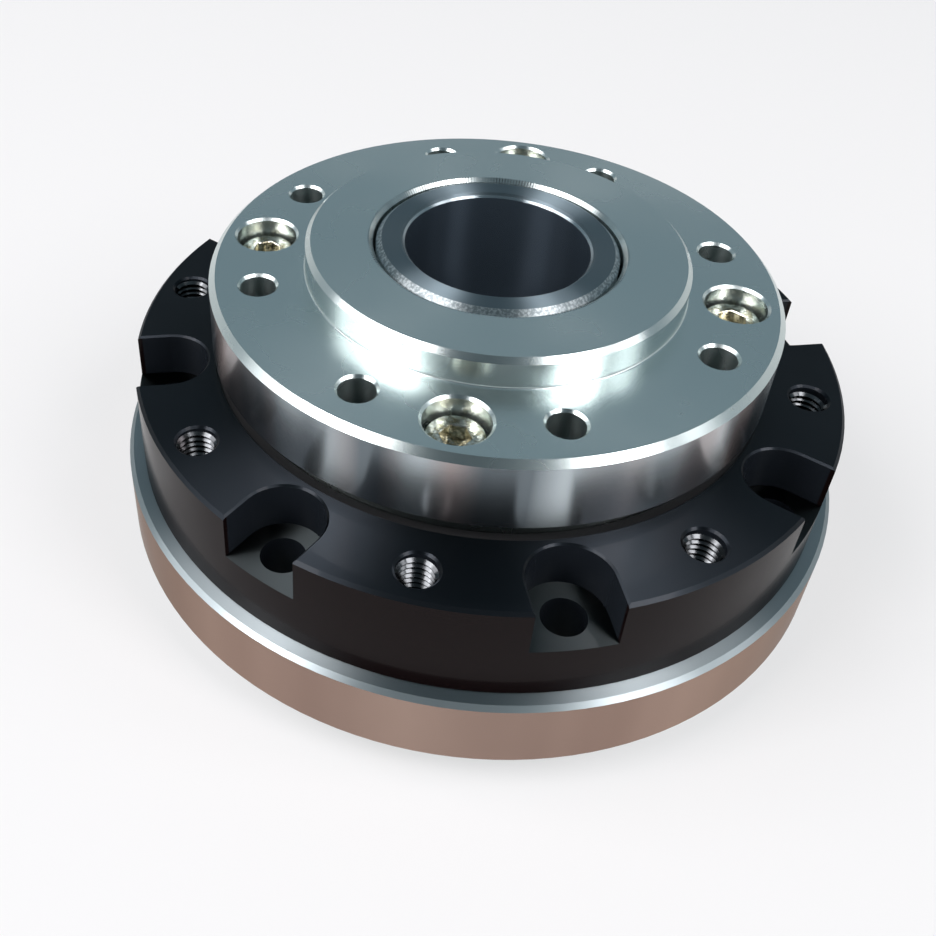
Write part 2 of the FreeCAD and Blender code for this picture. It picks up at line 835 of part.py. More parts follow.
def support_cage(z0):
    z = z0 + bearing_height / 2
    half = bearing_cage_thickness / 2
    ring = turned([
        (bearing_pitch_radius - half, z),
        (bearing_pitch_radius + half, z),
        (bearing_pitch_radius + half, z + bearing_cage_height),
        (bearing_pitch_radius - half, z + bearing_cage_height),
    ])
    return ring.cut(ball_pockets(bearing_ball_radius + pocket_gap, support_ball_centres(z0)))


# Wave bearing

def wave_groove():
    """Groove along the oval ball track."""
    a = wave_track_radius + wave
    path = ellipse_wire(wave_track_radius, wave, z_wave)
    section = Part.Circle(vec(a, 0, z_wave), vec(0, 1, 0), wave_ball_radius + rolling_gap)
    return path.makePipeShell([Part.Wire(section.toShape())], True, True)


def wave_outer_race():
    return oval_ring(wave_outer_inside, wave_outer_radius, z_wave_bottom, z_wave_top).cut(wave_groove())


def wave_inner_race():
    bore = cam_radius + seat_gap
    return oval_ring(bore, wave_inner_outside, z_wave_bottom, z_wave_top).cut(wave_groove())


def wave_ball_centres():
    return ball_centres(wave_ball_count, wave_track_radius, wave, z_wave)


def wave_balls():
    return ball_ring(wave_ball_radius, wave_ball_centres())


def wave_cage():
    middle = (wave_inner_outside + wave_outer_inside) / 2
    half = wave_cage_thickness / 2
    ring = oval_ring(middle - half, middle + half, z_wave, z_wave + wave_cage_height)
    return ring.cut(ball_pockets(wave_ball_radius + pocket_gap, wave_ball_centres()))


# Shaft

def hollow_shaft():
    z_low = z_rear + shaft_end_recess
    clip = bearing_seat_radius - clip_groove_depth
    z_in_clip = z_input_bearing_bottom - shaft_clip_thickness
    z_out_clip = z_output_bearing_top + shaft_clip_thickness
    z_wave_clip = z_wave_top + wave_clip_thickness
    wave_clip = shaft_shoulder_radius - clip_groove_depth
    body = turned([
        (bore_radius, z_low, bore_chamfer),
        (journal_radius, z_low, edge_break),
        (journal_radius, z_in_clip - edge_break),
        (bearing_seat_radius, z_in_clip - edge_break),
        (bearing_seat_radius, z_in_clip),
        (clip, z_in_clip),
        (clip, z_input_bearing_bottom),
        (bearing_seat_radius, z_input_bearing_bottom),
        (bearing_seat_radius, z_input_bearing_top),
        (shaft_shoulder_radius, z_input_bearing_top),
        (shaft_shoulder_radius, z_input_bearing_top + cam_flange_thickness),
        (shaft_middle_radius, z_input_bearing_top + cam_flange_thickness),
        (shaft_middle_radius, z_wave_top),
        (wave_clip, z_wave_top),
        (wave_clip, z_wave_clip),
        (shaft_shoulder_radius, z_wave_clip),
        (shaft_shoulder_radius, z_output_bearing_bottom),
        (bearing_seat_radius, z_output_bearing_bottom),
        (bearing_seat_radius, z_output_bearing_top),
        (clip, z_output_bearing_top),
        (clip, z_out_clip),
        (bearing_seat_radius, z_out_clip),
        (bearing_seat_radius, z_out_clip + edge_break),
        (journal_radius, z_out_clip + edge_break),
        (journal_radius, z_boss_top, shaft_end_chamfer),
        (bore_radius, z_boss_top, bore_chamfer),
    ])
    cam = oval(cam_radius, z_wave_bottom, z_wave_top)
    flange = oval(cam_radius + cam_flange_reach, z_wave_bottom - cam_flange_thickness, z_wave_bottom)
    plug = cam.fuse(flange).cut(cylinder(shaft_middle_radius - cut_over, z_rear, z_boss_top))
    shaft = body.fuse(plug)
    thread_pitch = (bore_radius + journal_radius) / 2
    tools = [cylinder(shaft_thread_radius, z_low, z_low + shaft_thread_depth, a, thread_pitch)
             for a in spread(shaft_thread_count, 180.0 / shaft_thread_count)]
    return shaft.cut(tools).removeSplitter()


def shaft_clip(z0):
    inner = bearing_seat_radius - clip_groove_depth + seat_gap
    return clip_ring(inner, inner + shaft_clip_width, z0, z0 + shaft_clip_thickness, shaft_clip_gap, 90)


def wave_clip():
    inner = shaft_shoulder_radius - clip_groove_depth + seat_gap
    return clip_ring(
        inner, inner + wave_clip_reach, z_wave_top, z_wave_top + wave_clip_thickness, shaft_clip_gap, 90)


def bore_clip(z0):
    outer = bearing_outer_radius + bore_clip_depth - seat_gap
    return clip_ring(outer - bore_clip_width, outer, z0, z0 + bore_clip_thickness, shaft_clip_gap, 90)


# Seals and cord rings

def shaft_seal(z0, lip_up):
    """Rubber seal: a shell in the housing bore, a web and a lip on the shaft."""
    z1 = z0 + shaft_seal_height
    outer = shaft_seal_radius - seat_gap
    lip = journal_radius + seal_gap
    shell = outer - seal_shell
    foot = lip + seal_shell
    if lip_up:
        web, back = z1, z1 - seal_shell
        end, tip = z0, z0 + seal_shell
    else:
        web, back = z0, z0 + seal_shell
        end, tip = z1, z1 - seal_shell
    return turned([
        (lip, web), (outer, web), (outer, end), (shell, end),
        (shell, back), (foot, back), (foot, tip), (lip, tip),
    ])


def output_seal():
    z1 = z_flange_top - output_seal_setback
    z0 = z1 - output_seal_height
    outer = output_seal_radius - seat_gap
    lip = neck_radius + seal_gap
    middle = (outer + lip) / 2
    return turned([
        (lip, z1 - seal_shell, edge_break / 2), (middle - edge_break, z1), (outer, z1), (outer, z0),
        (middle, z0), (middle, z1 - 2 * seal_shell), (lip, z1 - 2 * seal_shell),
    ])


def cord_ring(radius, z, cord):
    """Round cord, drawn with flat sides."""
    size = cord - seat_gap
    points = [(radius + size * math.cos(math.radians(a)), z + size * math.sin(math.radians(a)))
              for a in spread(cord_sides, 180.0 / cord_sides)]
    return turned(points)


def single_parts():
    z_in_clip = z_input_bearing_bottom - shaft_clip_thickness
    return {
        "mounting_flange": mounting_flange(),
        "base_ring": base_ring(),
        "rear_cover": rear_cover(),
        "flexspline": flexspline(),
        "crossed_roller_outer_ring_upper": crossed_outer_half(z_roller, z_outer_ring_top),
        "crossed_roller_outer_ring_lower": crossed_outer_half(z_outer_ring_bottom, z_roller),
        "crossed_roller_inner_ring": crossed_inner_ring(),
        "wave_bearing_outer_race": wave_outer_race(),
        "wave_bearing_inner_race": wave_inner_race(),
        "wave_bearing_cage": wave_cage(),
        "wave_bearing_clip": wave_clip(),
        "output_flange": output_flange(),
        "circular_spline": circular_spline(),
        "hollow_shaft": hollow_shaft(),
        "output_bearing_outer_ring": support_outer_ring(z_output_bearing_bottom),
        "output_bearing_inner_ring": support_inner_ring(z_output_bearing_bottom),
        "output_bearing_cage": support_cage(z_output_bearing_bottom),
        "output_bearing_bore_clip": bore_clip(z_output_bearing_bottom - bore_clip_thickness),
        "output_bearing_shaft_clip": shaft_clip(z_output_bearing_top),
        "input_bearing_outer_ring": support_outer_ring(z_input_bearing_bottom),
        "input_bearing_inner_ring": support_inner_ring(z_input_bearing_bottom),
        "input_bearing_cage": support_cage(z_input_bearing_bottom),
        "input_bearing_bore_clip": bore_clip(z_input_bearing_top),
        "input_bearing_shaft_clip": shaft_clip(z_in_clip),
        "output_shaft_seal": shaft_seal(z_output_pocket_top - shaft_seal_height, True),
        "input_shaft_seal": shaft_seal(z_input_seal_top - shaft_seal_height, False),
        "output_flange_seal": output_seal(),
        "output_flange_cord_ring": cord_ring(
            neck_radius - 3 * ring_cord_radius, z_neck_bottom + ring_cord_radius, ring_cord_radius),
        "rear_pilot_cord_ring": cord_ring(
            rear_pilot_radius - pilot_ring_cord_radius, pilot_ring_position, pilot_ring_cord_radius),
    }


def groups():
    return {
        "output_screws": output_screws(),
        "spline_screws": spline_screws(),
        "housing_screws": housing_screws(),
        "rear_cover_screws": cover_screws(),
        "crossed_rollers": crossed_rollers(),
        "roller_spacers": roller_spacers(),
        "wave_bearing_balls": wave_balls(),
        "output_bearing_balls": support_balls(z_output_bearing_bottom),
        "input_bearing_balls": support_balls(z_input_bearing_bottom),
    }


os.makedirs("parts", exist_ok=True)
for name, solid in single_parts().items():
    save(name, solid)
for name, solids in groups().items():
    save(name, Part.makeCompound(solids))
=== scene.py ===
import math

import bmesh
import bpy
from mathutils import Matrix, Vector


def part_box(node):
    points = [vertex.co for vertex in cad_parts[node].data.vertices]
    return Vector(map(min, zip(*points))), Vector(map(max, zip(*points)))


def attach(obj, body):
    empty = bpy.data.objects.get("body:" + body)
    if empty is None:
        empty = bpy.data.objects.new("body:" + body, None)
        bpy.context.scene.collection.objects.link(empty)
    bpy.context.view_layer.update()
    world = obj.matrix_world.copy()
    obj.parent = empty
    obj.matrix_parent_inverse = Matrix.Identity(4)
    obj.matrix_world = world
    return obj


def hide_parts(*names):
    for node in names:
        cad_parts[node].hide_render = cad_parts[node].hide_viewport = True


# Hollow strain wave gear: finishes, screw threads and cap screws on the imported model.
# Metres, +Z towards the output, the origin on the turning axis in the plane of the rear face.

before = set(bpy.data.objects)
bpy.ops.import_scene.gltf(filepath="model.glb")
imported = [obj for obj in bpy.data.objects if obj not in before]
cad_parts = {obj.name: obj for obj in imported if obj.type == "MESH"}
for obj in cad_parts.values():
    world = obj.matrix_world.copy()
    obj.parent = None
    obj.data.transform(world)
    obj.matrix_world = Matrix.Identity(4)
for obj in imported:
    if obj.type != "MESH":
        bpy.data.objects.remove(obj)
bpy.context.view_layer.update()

MM = 0.001
AXIS = Vector((0, 0, 1))


def node_low(node):
    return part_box(node)[0].z


def node_high(node):
    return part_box(node)[1].z


def node_radius(node):
    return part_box(node)[1].x


# Heights and radii read from the frame, below the boss on the output disc

BOSS_HEIGHT = 5.0 * MM
disc_top = node_high("output_flange") - BOSS_HEIGHT
disc_radius = node_radius("output_flange")
flange_radius = node_radius("mounting_flange")
ring_radius = node_radius("base_ring")
flange_top = node_high("mounting_flange")
shaft_end = node_low("hollow_shaft")
spline_top = node_high("circular_spline")

# Hole patterns: pitch radii, the step between eight holes, and how far the disc is turned

OUTPUT_PITCH = 37.5 * MM
MOUNT_PITCH = 52.0 * MM
HOUSING_SCREW_PITCH = 53.5 * MM
COVER_SCREW_PITCH = 43.4 * MM
SHAFT_THREAD_PITCH = 16.75 * MM
HOLE_STEP = 45.0
DISC_TURN = 2.0

# Hollow shaft: its bore, and how far out the painted shade of the bore's wall and the painted
# highlight of its lip reach

SHAFT_BORE_RADIUS = 14.5 * MM
SHAFT_BORE_LIMIT = SHAFT_BORE_RADIUS + 0.4 * MM
SHAFT_LIP_LIMIT = SHAFT_BORE_RADIUS + 0.3 * MM

# The chamfered edge of the shaft's end face, and the marked edge of the bore round it

JOURNAL_RADIUS = 19.0 * MM
SHAFT_EDGE_LOW = JOURNAL_RADIUS - 0.8 * MM
SHAFT_EDGE_HIGH = JOURNAL_RADIUS + 0.1 * MM
BORE_EDGE_LOW = JOURNAL_RADIUS + 0.5 * MM
BORE_EDGE_HIGH = JOURNAL_RADIUS + 1.3 * MM
TICK_COUNT = 260

# Internal threads: major radius, minor radius, pitch and depth

M6_THREAD = (3.0 * MM, 2.5 * MM, 1.0 * MM, 9.0 * MM)
M5_THREAD = (2.5 * MM, 2.1 * MM, 0.8 * MM, 8.5 * MM)
M3_THREAD = (1.5 * MM, 1.22 * MM, 0.5 * MM, 3.6 * MM)

# Ridge of a thread: half its crest and half its base as shares of the pitch, and steps of a turn

HALF_CREST = 1 / 16
HALF_BASE = 7 / 16
THREAD_STEPS = 28

# Cap screws: radius and height of the head, width and depth of the socket, radius of the shank

M5_SCREW = (4.25 * MM, 5.0 * MM, 4.0 * MM, 2.5 * MM, 2.47 * MM)
M4_SCREW = (3.5 * MM, 4.0 * MM, 3.0 * MM, 2.0 * MM, 1.97 * MM)
M3_SCREW = (2.75 * MM, 3.0 * MM, 2.5 * MM, 1.5 * MM, 1.47 * MM)

# Head of a screw, as shares of its radius: depth of the knurl, height of the rounded edge

KNURL_FLUTES = 32
KNURL_LINES = 4 * KNURL_FLUTES
KNURL_DEPTH = 0.045
HEAD_ROUNDING = 0.08

# Steps of the rounded edge: growth of the loop, and share of the edge's height

ROUNDING_STEPS = [(0.97, 0.7), (0.95, 0.3)]

# Socket and tip: widened mouth and drilled point as shares of the hexagon, chamfer of the shank

SOCKET_MOUTH = 1.06
SOCKET_POINT = 0.3
TIP_CHAMFER = 0.2

# Edges sharper than this stay sharp, and points closer than this are one

SMOOTH_DEGREES = 35
MERGE_DISTANCE = 0.0001 * MM


def spots(count, first_degrees, pitch_radius, z, down=False):
    """Places on a pitch circle. The pieces there point up, or down."""
    flip = Matrix.Rotation(math.pi, 4, "Y") if down else Matrix.Identity(4)
    place = Matrix.Translation((pitch_radius, 0, z)) @ flip
    turns = [math.radians(first_degrees + 360 / count * i) for i in range(count)]
    return [Matrix.Rotation(turn, 4, "Z") @ place for turn in turns]


# Meshes

def added(name, data):
    """A new object in the scene."""
    thing = bpy.data.objects.new(name, data)
    bpy.context.scene.collection.objects.link(thing)
    return thing


def mesh_object(name, bm, material):
    """An object at the origin from bm."""
    mesh = bpy.data.meshes.new(name)
    bm.to_mesh(mesh)
    bm.free()
    mesh.materials.append(material)
    return added(name, mesh)


def finished(name, bm, material, body):
    """A piece of the object from bm, riding on a body."""
    piece = mesh_object(name, bm, material)
    piece.data.set_sharp_from_angle(angle=math.radians(SMOOTH_DEGREES))
    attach(piece, body)
    return piece


def repeated(bm, places):
    """The shape of bm at each place, in one bmesh."""
    one = bpy.data.meshes.new("one")
    bm.to_mesh(one)
    bm.free()
    whole = bmesh.new()
    for place in places:
        before = set(whole.verts)
        whole.from_mesh(one)
        new = [v for v in whole.verts if v not in before]
        bmesh.ops.transform(whole, matrix=place, verts=new)
    bpy.data.meshes.remove(one)
    return whole


def closed_and_smooth(bm):
    bmesh.ops.remove_doubles(bm, verts=bm.verts[:], dist=MERGE_DISTANCE)
    bmesh.ops.recalc_face_normals(bm, faces=bm.faces[:])
    for face in bm.faces:
        face.smooth = True


def extruded(bm, edges, growth, rise):
    """Extrudes a loop of edges, which grows about the z axis and rises. Returns the far edges."""
    made = bmesh.ops.extrude_edge_only(bm, edges=edges)["geom"]
    far = [g for g in made if isinstance(g, bmesh.types.BMVert)]
    bmesh.ops.scale(bm, verts=far, vec=(growth, growth, 1))
    bmesh.ops.translate(bm, verts=far, vec=(0, 0, rise))
    return [g for g in made if isinstance(g, bmesh.types.BMEdge)]


def thread(major, minor, pitch, depth):
    """Ridges of an internal screw thread below z = 0, from the hole's wall inwards."""
    bm = bmesh.new()
    profile = [(major, HALF_BASE), (minor, HALF_CREST), (minor, -HALF_CREST), (major, -HALF_BASE)]
    verts = [bm.verts.new((radius, 0, pitch * height - pitch)) for radius, height in profile]
    edges = [bm.edges.new(pair) for pair in zip(verts, verts[1:])]
    turns = (depth - 2 * pitch) / pitch
    count = round(turns * THREAD_STEPS)
    bmesh.ops.spin(
        bm, geom=verts + edges, cent=(0, 0, 0), axis=AXIS, dvec=(0, 0, -pitch / THREAD_STEPS),
        angle=-2 * math.pi * count / THREAD_STEPS, steps=count,
        use_merge=False, use_duplicate=False)
    closed_and_smooth(bm)
    return bm


def knurl(bm, radius):
    """Presses every fourth line of a head's side inwards."""
    step = 2 * math.pi / KNURL_LINES
    pressed = 1 - KNURL_DEPTH
    side = [v for v in bm.verts if v.co.xy.length > radius - MERGE_DISTANCE]
    for vert in side:
        line = round(math.atan2(vert.co.y, vert.co.x) / step)
        if line % 4 == 0:
            bmesh.ops.scale(bm, verts=[vert], vec=(pressed, pressed, 1))


def screw_head(bm, seat, radius, height):
    """Side and rounded edge of a head, up from its seat. Returns its top loop."""
    rounding = HEAD_ROUNDING * radius
    loop = extruded(bm, seat, 1, height - rounding)
    for growth, share in ROUNDING_STEPS:
        loop = extruded(bm, loop, growth, share * rounding)
    return loop


def hexagon_socket(bm, rim, rim_height, width, depth):
    """Top face of a head inside its rim, and a socket with a widened mouth and a drilled point."""
    corner = width / math.sqrt(3)
    mouth = bmesh.ops.create_circle(bm, segments=6, radius=SOCKET_MOUTH * corner)["verts"]
    bmesh.ops.translate(bm, verts=mouth, vec=(0, 0, rim_height))
    lip = [e for e in bm.edges if e.verts[0] in mouth and e.verts[1] in mouth]
    bmesh.ops.bridge_loops(bm, edges=rim + lip)
    wall = extruded(bm, lip, 1 / SOCKET_MOUTH, (1 - SOCKET_MOUTH) * corner)
    floor = extruded(bm, wall, 1, -depth)
    extruded(bm, floor, 0, -SOCKET_POINT * corner)


def screw_shank(bm, seat, head_radius, radius, length):
    """Underside of a head, and a shank with a chamfered tip."""
    chamfer = TIP_CHAMFER * radius
    under = extruded(bm, seat, radius / head_radius, 0)
    shank = extruded(bm, under, 1, chamfer - length)
    tip = extruded(bm, shank, 1 - TIP_CHAMFER, -chamfer)
    extruded(bm, tip, 0, 0)


def cap_screw(head_radius, head_height, socket, socket_depth, shank_radius, length):
    """Knurled cap screw with its head above z = 0 and its shank below."""
    bm = bmesh.new()
    bmesh.ops.create_circle(bm, segments=KNURL_LINES, radius=head_radius)
    seat = bm.edges[:]
    rim = screw_head(bm, seat, head_radius, head_height)
    hexagon_socket(bm, rim, head_height, socket, socket_depth)
    screw_shank(bm, seat, head_radius, shank_radius, length)
    knurl(bm, head_radius)
    closed_and_smooth(bm)
    return bm


# Material nodes: a surface is a face from the first rise of its normal up, a wall below the second

FACE_RISE = 0.45
WALL_RISE = 0.15

# How far a mask reaches past its rim, and the part of a noise's range that blotches use

RIM_REACH = 5 * MM
CLOUD_LOW = 0.3
CLOUD_HIGH = 0.7


class Finish:
    """A material with one shader. Constants go straight to the shader's sockets."""

    def __init__(self, name, **constants):
        self.material = bpy.data.materials.new(name)
        self.material.use_nodes = True
        self.tree = self.material.node_tree
        self.shader = self.tree.nodes["Principled BSDF"]
        for socket, value in constants.items():
            self.shader.inputs[socket.replace("_", " ")].default_value = value
        place = self.node("ShaderNodeTexCoord")
        self.place = place.outputs["Object"]
        x, y, self.height = self.node("ShaderNodeSeparateXYZ", (self.place,)).outputs
        flat = self.node("ShaderNodeCombineXYZ", (x, y, 0.0)).outputs[0]
        self.radius = self.vector("LENGTH", flat)
        self.outwards = self.vector("NORMALIZE", flat)
        rise = self.node("ShaderNodeSeparateXYZ", (place.outputs["Normal"],)).outputs[2]
        self.wall = self.ramp(self.math("ABSOLUTE", rise), FACE_RISE, WALL_RISE)

    def node(self, kind, inputs=(), **settings):
        """Adds a node. Each input is a constant or another node's output."""
        made = self.tree.nodes.new(kind)
        for setting, value in settings.items():
            setattr(made, setting, value)
        for i, value in enumerate(inputs):
            if isinstance(value, bpy.types.NodeSocket):
                self.tree.links.new(value, made.inputs[i])
            else:
                made.inputs[i].default_value = value
        return made

    def math(self, operation, *inputs):
        return self.node("ShaderNodeMath", inputs, operation=operation).outputs[0]

    def vector(self, operation, *inputs):
        made = self.node("ShaderNodeVectorMath", inputs, operation=operation)
        return made.outputs["Value"] if operation == "LENGTH" else made.outputs[0]

    def noise(self, where, scale, detail):
        """Noise in space, or along one value."""
        line = where.type == "VALUE"
        made = self.node("ShaderNodeTexNoise", noise_dimensions="1D" if line else "3D")
        self.tree.links.new(where, made.inputs["W" if line else "Vector"])
        made.inputs["Scale"].default_value = scale
        made.inputs["Detail"].default_value = detail
        return made.outputs["Fac"]

    def spread_to(self, value, low, high, new_low, new_high):
        return self.node("ShaderNodeMapRange", (value, low, high, new_low, new_high)).outputs[0]

    def ramp(self, value, low, high):
        """Nought at the first limit, and one at the second."""
        return self.spread_to(value, low, high, 0.0, 1.0)

    def between(self, value, low, high, soft):
        """One between two radii or heights, with soft ends."""
        rising = self.ramp(value, low - soft, low)
        falling = self.ramp(value, high + soft, high)
        return self.math("MULTIPLY", rising, falling)

    def near_rim(self, rim_radius, width, soft):
        """One within a width of a rim, and outside it."""
        return self.between(self.radius, rim_radius - width, rim_radius + RIM_REACH, soft)

    def blend(self, amount, first, second):
        made = self.node("ShaderNodeMix", data_type="RGBA")
        for name, value in (("Factor_Float", amount), ("A_Color", first), ("B_Color", second)):
            socket = next(s for s in made.inputs if s.identifier == name)
            if isinstance(value, bpy.types.NodeSocket):
                self.tree.links.new(value, socket)
            else:
                socket.default_value = (*value, 1)
        return next(s for s in made.outputs if s.identifier == "Result_Color")

    def send(self, output, socket):
        self.tree.links.new(output, self.shader.inputs[socket])

    def relief(self, height, distance):
        """Bumps the surface by height times distance."""
        made = self.node("ShaderNodeBump")
        made.inputs["Distance"].default_value = distance
        self.tree.links.new(height, made.inputs["Height"])
        self.send(made.outputs["Normal"], "Normal")

    def clouds(self, scale):
        """Soft blotches in space."""
        return self.noise(self.place, scale, detail=3.0)

    def clouded(self, cloud, low, high):
        """A value that drifts with the blotches between two limits."""
        return self.spread_to(cloud, CLOUD_LOW, CLOUD_HIGH, low, high)

    def rough(self, roughness, glossy, drop):
        """Sends a roughness, lowered where the glossy mask is one."""
        gloss = self.math("MULTIPLY", glossy, drop)
        self.send(self.math("SUBTRACT", roughness, gloss), "Roughness")

    def turned_grain(self):
        """Points the shader's stretched reflections across the marks of turning."""
        around = self.vector("CROSS_PRODUCT", self.place, AXIS)
        turn = self.node(
            "ShaderNodeVectorTransform", (around,), vector_type="VECTOR",
            convert_from="OBJECT", convert_to="WORLD")
        self.send(turn.outputs[0], "Tangent")

    def turning_marks(self, scale, detail):
        """Fine rings on faces and walls alike."""
        return self.noise(self.math("ADD", self.radius, self.height), scale, detail)

    def ticks(self, count):
        """Even marks around the axis, stronger in some places than in others."""
        x, y, _ = self.node("ShaderNodeSeparateXYZ", (self.place,)).outputs
        angle = self.math("ARCTAN2", y, x)
        wave = self.math("SINE", self.math("MULTIPLY", angle, float(count)))
        patches = self.noise(self.outwards, scale=5.0, detail=3.0)
        strength = self.ramp(patches, low=0.35, high=0.6)
        return self.math("MULTIPLY", self.ramp(wave, low=0.0, high=0.8), strength)


# Colours of the finishes, linear

ALUMINIUM = (0.63, 0.71, 0.70)
# Painted reflections: dull, pale and warm bands on the disc's rim wall, for what the wall mirrors
ALUMINIUM_PAINTED_DULL_REFLECTION = (0.17, 0.20, 0.22)
ALUMINIUM_PAINTED_PALE_REFLECTION = (0.60, 0.67, 0.70)
ALUMINIUM_PAINTED_WARM_REFLECTION = (0.62, 0.52, 0.50)
ALUMINIUM_TICK = (0.05, 0.06, 0.07)

FLANGE_FACE = (0.030, 0.036, 0.043)
FLANGE_SEAT = (0.045, 0.054, 0.056)
FLANGE_OUTER_WALL = (0.006, 0.003, 0.003)
FLANGE_NOTCH_WALL = (0.011, 0.014, 0.018)

RING_FACE = (0.46, 0.53, 0.55)
# Painted reflection: the ring's outer wall, warm and in bands, while its faces keep the steel's
# colour
RING_PAINTED_DARK_REFLECTION = (0.29, 0.205, 0.172)
RING_PAINTED_LIGHT_REFLECTION = (0.43, 0.315, 0.262)
RING_TINT = (0.60, 0.54, 0.50, 1)

SHAFT_FACE = (0.21, 0.27, 0.30)
# Painted highlights: the shaft's chamfered edge, painted lighter and speckled with glints
SHAFT_EDGE_PAINTED_SHEEN = (0.36, 0.42, 0.44)
SHAFT_EDGE_PAINTED_GLINT = (0.70, 0.76, 0.77)
# Painted highlight on the lip of the shaft's bore
SHAFT_LIP_PAINTED_HIGHLIGHT = (0.42, 0.49, 0.52)
# Painted shade in the shaft's bore
SHAFT_BORE_PAINTED_SHADE = (0.095, 0.13, 0.165)

BEARING_STEEL = (0.56, 0.57, 0.58, 1)
THREAD_STEEL = (0.085, 0.092, 0.096, 1)
ZINC_BRIGHT = (0.82, 0.82, 0.74)
ZINC_YELLOW = (0.30, 0.28, 0.19)
SEAL_BLACK = (0.012, 0.012, 0.013, 1)
CAGE_BEIGE = (0.62, 0.55, 0.40, 1)


# Finishes

def turned(name, stretch=1.0, **constants):
    """A finish whose reflections stretch across the marks of turning."""
    finish = Finish(name, Anisotropic=stretch, Anisotropic_Rotation=0.25, **constants)
    finish.turned_grain()
    return finish


def turned_aluminium():
    """Satin disc with a glossier rim wall in soft bands of painted reflection, and ticks round the
    bore.
    """
    finish = turned("turned_aluminium", stretch=0.75, Metallic=1.0)
    rim = finish.near_rim(disc_radius, width=0.6 * MM, soft=0.2 * MM)
    rim_wall = finish.math("MULTIPLY", finish.wall, rim)
    # Painted reflection: the rim wall's colour drifts round the axis in dull, pale and warm bands
    reflection_bands = finish.noise(finish.outwards, scale=3.2, detail=1.5)
    tints = finish.noise(finish.outwards, scale=4.0, detail=0.0)
    tint = finish.ramp(tints, low=0.44, high=0.60)
    painted_bright_reflection = finish.blend(tint, ALUMINIUM_PAINTED_PALE_REFLECTION, ALUMINIUM_PAINTED_WARM_REFLECTION)
    light = finish.ramp(reflection_bands, low=0.40, high=0.62)
    wall_colour = finish.blend(light, ALUMINIUM_PAINTED_DULL_REFLECTION, painted_bright_reflection)
    bore_edge = finish.between(finish.radius, BORE_EDGE_LOW, BORE_EDGE_HIGH, soft=0.05 * MM)
    ticks = finish.math("MULTIPLY", finish.ticks(TICK_COUNT), bore_edge)
    face_colour = finish.blend(ticks, ALUMINIUM, ALUMINIUM_TICK)
    finish.send(finish.blend(rim_wall, face_colour, wall_colour), "Base Color")
    satin = finish.clouded(finish.clouds(70), low=0.24, high=0.29)
    finish.rough(satin, glossy=rim_wall, drop=0.04)
    finish.relief(finish.turning_marks(1500, detail=4.0), distance=0.0025 * MM)
    return finish.material


def black_flange():
    """Black anodised flange: metallic faces, lighter bolt seats, and glossy walls."""
    finish = turned(
        "black_anodised", Specular_IOR_Level=0.03, Coat_Weight=0.09, Coat_Roughness=0.05)
    rim = finish.near_rim(flange_radius, width=0.6 * MM, soft=0.2 * MM)
    wall_colour = finish.blend(rim, FLANGE_NOTCH_WALL, FLANGE_OUTER_WALL)
    seats = finish.ramp(finish.height, low=flange_top - 2 * MM, high=flange_top - 3 * MM)
    face_colour = finish.blend(seats, FLANGE_FACE, FLANGE_SEAT)
    finish.send(finish.blend(finish.wall, face_colour, wall_colour), "Base Color")
    finish.send(finish.math("SUBTRACT", 1.0, finish.wall), "Metallic")
    satin = finish.clouded(finish.clouds(90), low=0.42, high=0.48)
    finish.rough(satin, glossy=finish.wall, drop=0.28)
    finish.relief(finish.turning_marks(2000, detail=3.0), distance=0.003 * MM)
    return finish.material


def ground_ring():
    """Ground steel: pale faces, and an outer wall painted warm in faint bands as a painted
    reflection.
    """
    finish = turned("ground_steel", Metallic=1.0, Specular_Tint=RING_TINT)
    rim = finish.near_rim(ring_radius, width=0.4 * MM, soft=0.1 * MM)
    rim_wall = finish.math("MULTIPLY", finish.wall, rim)
    # Painted reflection: the outer wall is painted warm, lighter and darker in bands round the
    # axis
    reflection_bands = finish.noise(finish.outwards, scale=1.7, detail=3.0)
    light = finish.ramp(reflection_bands, low=0.36, high=0.64)
    wall_colour = finish.blend(light, RING_PAINTED_DARK_REFLECTION, RING_PAINTED_LIGHT_REFLECTION)
    finish.send(finish.blend(rim_wall, RING_FACE, wall_colour), "Base Color")
    satin = finish.clouded(finish.clouds(60), low=0.38, high=0.44)
    finish.rough(satin, glossy=finish.wall, drop=0.2)
    finish.relief(finish.turning_marks(3000, detail=4.0), distance=0.004 * MM)
    return finish.material


